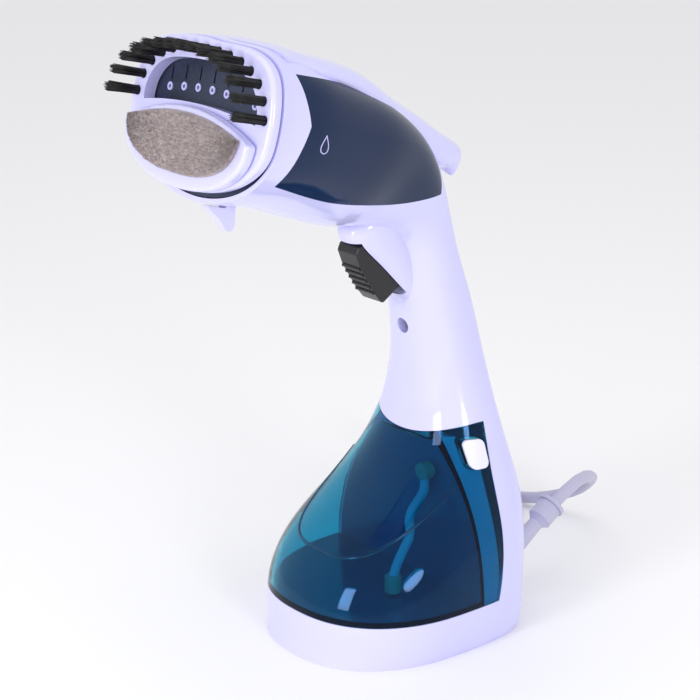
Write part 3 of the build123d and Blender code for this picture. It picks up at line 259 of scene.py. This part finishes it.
def moulded(name, color, other, roughness, grain=0.05, grain_scale=900, coat=0.0, shine=0.5):
    """Moulded plastic or rubber: a faint change of colour, uneven gloss and a fine grain."""
    material, shader = simple_material(name)
    two_colors(material, shader, noise(material, 14, 3), color, other)
    link(material, spread(material, noise(material, 60, 5), *roughness), shader.inputs["Roughness"])
    bump(material, shader, noise(material, grain_scale, 2), grain, 0.0002)
    shader.inputs["IOR"].default_value = 1.5
    shader.inputs["Specular IOR Level"].default_value = shine
    shader.inputs["Coat Weight"].default_value = coat
    shader.inputs["Coat Roughness"].default_value = 0.04
    return material


def metal(name, color, roughness, grain_scale):
    """Bare or plated metal with fine uneven wear."""
    material, shader = simple_material(name)
    shader.inputs["Metallic"].default_value = 1.0
    two_colors(material, shader, noise(material, 40, 4), color, tuple(c * 0.8 for c in color))
    link(material, spread(material, noise(material, grain_scale, 4), *roughness), shader.inputs["Roughness"])
    bump(material, shader, noise(material, grain_scale, 3), 0.15, 0.0002)
    return material


def make_shell_white():
    """Glossy white housing plastic with a cool cast."""
    return moulded("shell_white", (0.60, 0.59, 0.93), (0.63, 0.62, 0.95), (0.10, 0.16), 0.02, 700, 0.3)


def make_panel_navy():
    """Glossy dark navy panel with a soft flow pattern."""
    return moulded(
        "panel_navy", (0.008, 0.018, 0.055), (0.010, 0.026, 0.075), (0.08, 0.14), 0.02, 600, shine=0.22
    )


def make_tank_blue():
    """Clear tinted tank plastic."""
    material, shader = simple_material("tank_blue")
    two_colors(material, shader, noise(material, 25, 3), (0.006, 0.48, 0.64), (0.010, 0.52, 0.68))
    shader.inputs["Transmission Weight"].default_value = 1.0
    shader.inputs["IOR"].default_value = 1.46
    shader.inputs["Specular Tint"].default_value = (0.30, 0.45, 0.85, 1)
    link(material, spread(material, noise(material, 50, 4), 0.02, 0.06), shader.inputs["Roughness"])
    return material


def make_steam_plate_dark():
    """Coated steam plate: dark blue-grey with a fine metallic fleck."""
    material, shader = simple_material("steam_plate_dark")
    two_colors(material, shader, noise(material, 1800, 2), (0.018, 0.025, 0.050), (0.07, 0.085, 0.14))
    shader.inputs["Metallic"].default_value = 0.6
    link(material, spread(material, noise(material, 300, 4), 0.25, 0.4), shader.inputs["Roughness"])
    bump(material, shader, noise(material, 1500, 2), 0.25, 0.0002)
    return material


def make_pad_fibre():
    """Brushed pile of the lint pad: two fibre tones with a lay across the pad."""
    material, shader = simple_material("pad_fibre")
    lay = add_node(material, "ShaderNodeTexNoise", Scale=900.0, Detail=5.0, Roughness=0.7)
    mapping = add_node(material, "ShaderNodeMapping", Scale=(0.35, 1.0, 1.0), Rotation=(0, 0.6, 0))
    link(material, place_node(material), mapping.inputs["Vector"])
    link(material, mapping.outputs["Vector"], lay.inputs["Vector"])
    tone = spread(material, lay.outputs["Fac"], -0.6, 1.6)
    two_colors(material, shader, tone, (0.15, 0.11, 0.11), (0.50, 0.42, 0.42))
    shader.inputs["Roughness"].default_value = 0.85
    shader.inputs["Sheen Weight"].default_value = 0.6
    shader.inputs["Sheen Roughness"].default_value = 0.4
    bump(material, shader, lay.outputs["Fac"], 1.0, 0.0006)
    return material


def make_cast_metal():
    """As-cast aluminium."""
    return metal("cast_metal", (0.60, 0.60, 0.61), (0.35, 0.55), 400)


MATERIALS = {
    "white_shell": make_shell_white(),
    "navy_panel": make_panel_navy(),
    "tank_blue": make_tank_blue(),
    "button_blue": moulded("button_white", (0.74, 0.73, 0.86), (0.78, 0.77, 0.90), (0.20, 0.30)),
    "black_plastic": moulded("black_plastic", (0.004, 0.004, 0.006), (0.012, 0.012, 0.016), (0.22, 0.36)),
    "bristle_black": moulded("bristle_black", (0.004, 0.004, 0.004), (0.012, 0.012, 0.012), (0.3, 0.5)),
    "pad_fibre": make_pad_fibre(),
    "plate_dark": make_steam_plate_dark(),
    "cast_metal": make_cast_metal(),
    "steel": metal("plated_steel", (0.55, 0.55, 0.56), (0.25, 0.4), 600),
    "silicone_blue": moulded("silicone_blue", (0.20, 0.50, 0.80), (0.26, 0.56, 0.84), (0.35, 0.5)),
    "silicone_grey": moulded("silicone_grey", (0.32, 0.32, 0.33), (0.38, 0.38, 0.39), (0.45, 0.6)),
    "inner_plastic": moulded("inner_plastic", (0.52, 0.51, 0.86), (0.57, 0.56, 0.90), (0.4, 0.55)),
    "cord_grey": moulded("cord_lavender", (0.46, 0.45, 0.60), (0.51, 0.50, 0.65), (0.32, 0.45)),
    "pin_metal": metal("pin_metal", (0.72, 0.71, 0.68), (0.12, 0.25), 500),
}


def finish_cad_nodes():
    """Each CAD node gets its slot's material."""
    for entry in frame["record"]["subparts"]:
        mesh = nodes[entry["node"]].data
        mesh.materials.clear()
        mesh.materials.append(MATERIALS[entry["material_slot"]])


finish_cad_nodes()
lead.data.materials.append(MATERIALS["cord_grey"])

# ---------------------------------------------------------------- bristle tufts, in millimetres
TUFT_COUNT = 15
TUFT_RING = (45.2, 2.5, 31.0, 2.6)   # half width, height of its ends, rise, power of the curve
RING_STEPS = 360
TUFT_RADIUS = 2.05
TUFT_LENGTH = 17.0
STRANDS_PER_TUFT = 120
STRAND_RADIUS = 0.16
STRAND_SIDES = 5
STRAND_ROOT = 1.5                # depth in the frame at which a strand starts
STRAND_SHORTFALL = 2.2           # the most that a strand is short of the tuft's length
STRAND_SPLAY = 0.25              # the most that a strand spreads towards its tip
STRAND_STRAY = 0.15              # how unevenly the tips stand


def tuft_places():
    """Places at even distances along the brush's upper ring, in millimetres across and up."""
    half_width, ends, rise, power = TUFT_RING
    path = []
    for i in range(RING_STEPS + 1):
        turn = math.pi * i / RING_STEPS
        across = half_width * math.copysign(abs(math.cos(turn)) ** (2 / power), math.cos(turn))
        path.append((across, ends + rise * abs(math.sin(turn)) ** (2 / power)))
    travelled = [0.0]
    for here, there in zip(path, path[1:]):
        travelled.append(travelled[-1] + math.dist(here, there))
    places = []
    for i in range(TUFT_COUNT):
        distance = travelled[-1] * (i + 1) / (TUFT_COUNT + 1)
        nearest = min(range(len(path)), key=lambda step: abs(travelled[step] - distance))
        places.append(path[nearest])
    return places


def add_strand(mesh, line, radii):
    """Thin tapering strand through the line's places, closed at its tip."""
    rings = []
    for place, radius in zip(line, radii):
        ring = []
        for k in range(STRAND_SIDES):
            turn = 2 * math.pi * k / STRAND_SIDES
            x, v, s = place
            corner = head_place(x + radius * math.cos(turn), v + radius * math.sin(turn), s)
            ring.append(mesh.verts.new(corner))
        rings.append(ring)
    for ring, following in zip(rings, rings[1:]):
        for k in range(STRAND_SIDES):
            after = (k + 1) % STRAND_SIDES
            mesh.faces.new((ring[k], ring[after], following[after], following[k]))
    mesh.faces.new(rings[-1])


def piece_from(mesh, name, body, slot_name, *replaced):
    """Object from a bmesh that rides on a body and stands for CAD nodes."""
    data = bpy.data.meshes.new(name)
    mesh.normal_update()
    mesh.to_mesh(data)
    mesh.free()
    piece = bpy.data.objects.new(name, data)
    scene.collection.objects.link(piece)
    data.materials.append(MATERIALS[slot_name])
    data.shade_smooth()
    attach(piece, body)
    if replaced:
        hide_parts(*replaced)
    return piece


def make_bristles():
    """Bundles of nylon strands, a little splayed and of uneven length."""
    mesh = bmesh.new()
    for across, up in tuft_places():
        for _ in range(STRANDS_PER_TUFT):
            turn = rng.uniform(0, 2 * math.pi)
            spot = TUFT_RADIUS * math.sqrt(rng.random()) - STRAND_RADIUS
            x = across + spot * math.cos(turn)
            v = up + spot * math.sin(turn)
            splay = 1.0 + rng.uniform(0.0, STRAND_SPLAY)
            tip_x = across + spot * splay * math.cos(turn) + rng.gauss(0, STRAND_STRAY)
            tip_v = up + spot * splay * math.sin(turn) + rng.gauss(0, STRAND_STRAY)
            tip_s = -TUFT_LENGTH + rng.uniform(0, STRAND_SHORTFALL)
            middle = ((x * 0.6 + tip_x * 0.4), (v * 0.6 + tip_v * 0.4), tip_s / 2)
            add_strand(mesh, [(x, v, STRAND_ROOT), middle, (tip_x, tip_v, tip_s)],
                       [STRAND_RADIUS, STRAND_RADIUS, STRAND_RADIUS * 0.6])
    return piece_from(mesh, "bristle_strands", "brush", "bristle_black", "bristle_tufts")


# ---------------------------------------------------------------- lint pad, in millimetres
PAD_HALF_WIDTH = 38.3
PAD_CORNER_HEIGHT = 0.5          # where its upper and lower edges meet
PAD_TOP_RISE = 6.4
PAD_DROP = 19.8
PAD_SEAT = -5.65                 # s of the tray's face
PAD_RISE = 2.5                   # how far the cushion stands out of the tray
PAD_UNEVENNESS = 0.12
PAD_COLUMNS = 120
PAD_ROWS = 72
PAD_FIBRES = 9000
FIBRE_RADII = [0.07, 0.06, 0.03]


def pad_edges(x):
    """Lower and upper edge of the pad at a place across it."""
    share = min(abs(x) / PAD_HALF_WIDTH, 1.0)
    upper = PAD_CORNER_HEIGHT + PAD_TOP_RISE * (1 - share ** 2)
    lower = PAD_CORNER_HEIGHT - PAD_DROP * max(1 - share ** 2.5, 0.0) ** (1 / 2.2)
    return lower, upper


def pad_place(a, b):
    """Point of the pad's face for a from -1 to 1 across it and b from 0 to 1 up it."""
    x = PAD_HALF_WIDTH * math.sin(math.pi * a / 2)
    lower, upper = pad_edges(x)
    rim = max(abs(2 * b - 1), abs(a))
    rise = PAD_RISE * (1 - rim ** 14) ** 0.5
    return x, lower + (upper - lower) * b, PAD_SEAT - rise


def make_lint_pad():
    """Low cushion of brushed pile, with short fibres that lie across it."""
    mesh = bmesh.new()
    grid = []
    for i in range(PAD_COLUMNS + 1):
        a = 2 * i / PAD_COLUMNS - 1
        column = []
        for j in range(PAD_ROWS + 1):
            x, v, s = pad_place(a, j / PAD_ROWS)
            unevenness = rng.uniform(-PAD_UNEVENNESS, PAD_UNEVENNESS)
            column.append(mesh.verts.new(head_place(x, v, s + unevenness)))
        grid.append(column)
    for left, right in zip(grid, grid[1:]):
        for j in range(PAD_ROWS):
            mesh.faces.new((left[j], right[j], right[j + 1], left[j + 1]))
    bmesh.ops.remove_doubles(mesh, verts=mesh.verts, dist=1e-6)
    pad = piece_from(mesh, "pad_pile", "brush", "pad_fibre", "lint_pad")
    fibres = bmesh.new()
    for _ in range(PAD_FIBRES):
        x, v, s = pad_place(rng.uniform(-0.985, 0.985), rng.uniform(0.015, 0.985))
        lean = (rng.gauss(0.5, 0.35), rng.gauss(-0.25, 0.35), -rng.uniform(0.25, 0.7))
        middle = (x + 0.4 * lean[0], v + 0.4 * lean[1], s + 0.7 * lean[2])
        tip = (x + lean[0], v + lean[1], s + lean[2])
        add_strand(fibres, [(x, v, s + 0.2), middle, tip], FIBRE_RADII)
    piece_from(fibres, "pad_fibres", "brush", "pad_fibre")


def make_return_spring():
    """The trigger's spring: its own copy of the CAD mesh, riding on the housing."""
    spring = bpy.data.objects.new("return_spring", nodes["trigger_spring"].data.copy())
    scene.collection.objects.link(spring)
    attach(spring, "housing")
    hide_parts("trigger_spring")
    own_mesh(spring)


# ---------------------------------------------------------------- lines that follow a CAD surface
def surface_tree(node_name):
    """Search tree of a CAD node's faces."""
    data = nodes[node_name].data
    corners = [vertex.co for vertex in data.vertices]
    return BVHTree.FromPolygons(corners, [face.vertices for face in data.polygons])


def make_bead(name, places, radius, body, slot_name, cyclic):
    """Round bead along places, riding on a body."""
    curve = bpy.data.curves.new(name, "CURVE")
    curve.dimensions = "3D"
    spline = curve.splines.new("POLY")
    spline.points.add(len(places) - 1)
    for point, place in zip(spline.points, places):
        point.co = (*place, 1)
        point.radius = radius
    spline.use_cyclic_u = cyclic
    curve.bevel_depth = 1.0          # times each point's radius
    curve.bevel_resolution = 2
    curve.use_fill_caps = True
    bead = bpy.data.objects.new(name, curve)
    scene.collection.objects.link(bead)
    curve.materials.append(MATERIALS[slot_name])
    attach(bead, body)


SHIELD_HALF_WIDTH = 36.5 * MM    # the shield-shaped field on the tank's front
SHIELD_TOP = 88 * MM
SHIELD_DEPTH = 39 * MM
CREASE_RADIUS = 0.8 * MM
CREASE_SUNK = 0.4                # share of its radius by which its middle lies inside the wall
CREASE_END = 0.04                # share of the half turn left out at each end
CREASE_POINTS = 72


def make_shield_crease():
    """Raised line round the lower half of the tank's shield."""
    tree = surface_tree("water_tank")
    places = []
    for i in range(CREASE_POINTS + 1):
        turn = math.pi * (CREASE_END + (1 - 2 * CREASE_END) * i / CREASE_POINTS)
        across = -SHIELD_HALF_WIDTH * math.copysign(abs(math.cos(turn)) ** 0.5, math.cos(turn))
        height = SHIELD_TOP - SHIELD_DEPTH * math.sin(turn) ** (2 / 3)
        hit, normal, _, _ = tree.ray_cast(Vector((across, -RAY_START, height)), Vector((0, 1, 0)))
        places.append(hit - normal * (CREASE_RADIUS * CREASE_SUNK))
    make_bead("shield_crease", places, CREASE_RADIUS, "tank", "tank_blue", False)


# ---------------------------------------------------------------- the plain droplet on the panel
DROPLET_PLACE = Vector((0, -78.8, 255.0)) * MM
DROPLET_HEIGHT = 7.5 * MM
DROPLET_FULLNESS = 0.85          # its greatest width over that of a round shape as high
DROPLET_POINTS = 40
DROPLET_LINE_RADIUS = 0.24 * MM
DROPLET_RELIEF = 0.02 * MM


def make_droplet():
    """Printed droplet outline that follows the panel."""
    tree = surface_tree("side_panel_right")
    places = []
    for i in range(DROPLET_POINTS):
        turn = 2 * math.pi * i / DROPLET_POINTS
        along = DROPLET_HEIGHT / 2 * math.cos(turn)
        width = DROPLET_FULLNESS * DROPLET_HEIGHT * math.sin(turn / 2) ** 1.5
        aside = width / 2 * math.sin(turn)
        start = DROPLET_PLACE + HEAD_UP * along + HEAD_FORWARD * aside + Vector((RAY_START, 0, 0))
        hit, normal, _, _ = tree.ray_cast(start, Vector((-1, 0, 0)))
        places.append(hit + normal * DROPLET_RELIEF)
    make_bead("droplet_mark", places, DROPLET_LINE_RADIUS, "housing", "inner_plastic", True)


make_bristles()
make_lint_pad()
make_return_spring()
make_shield_crease()
make_droplet()

bpy.context.view_layer.update()
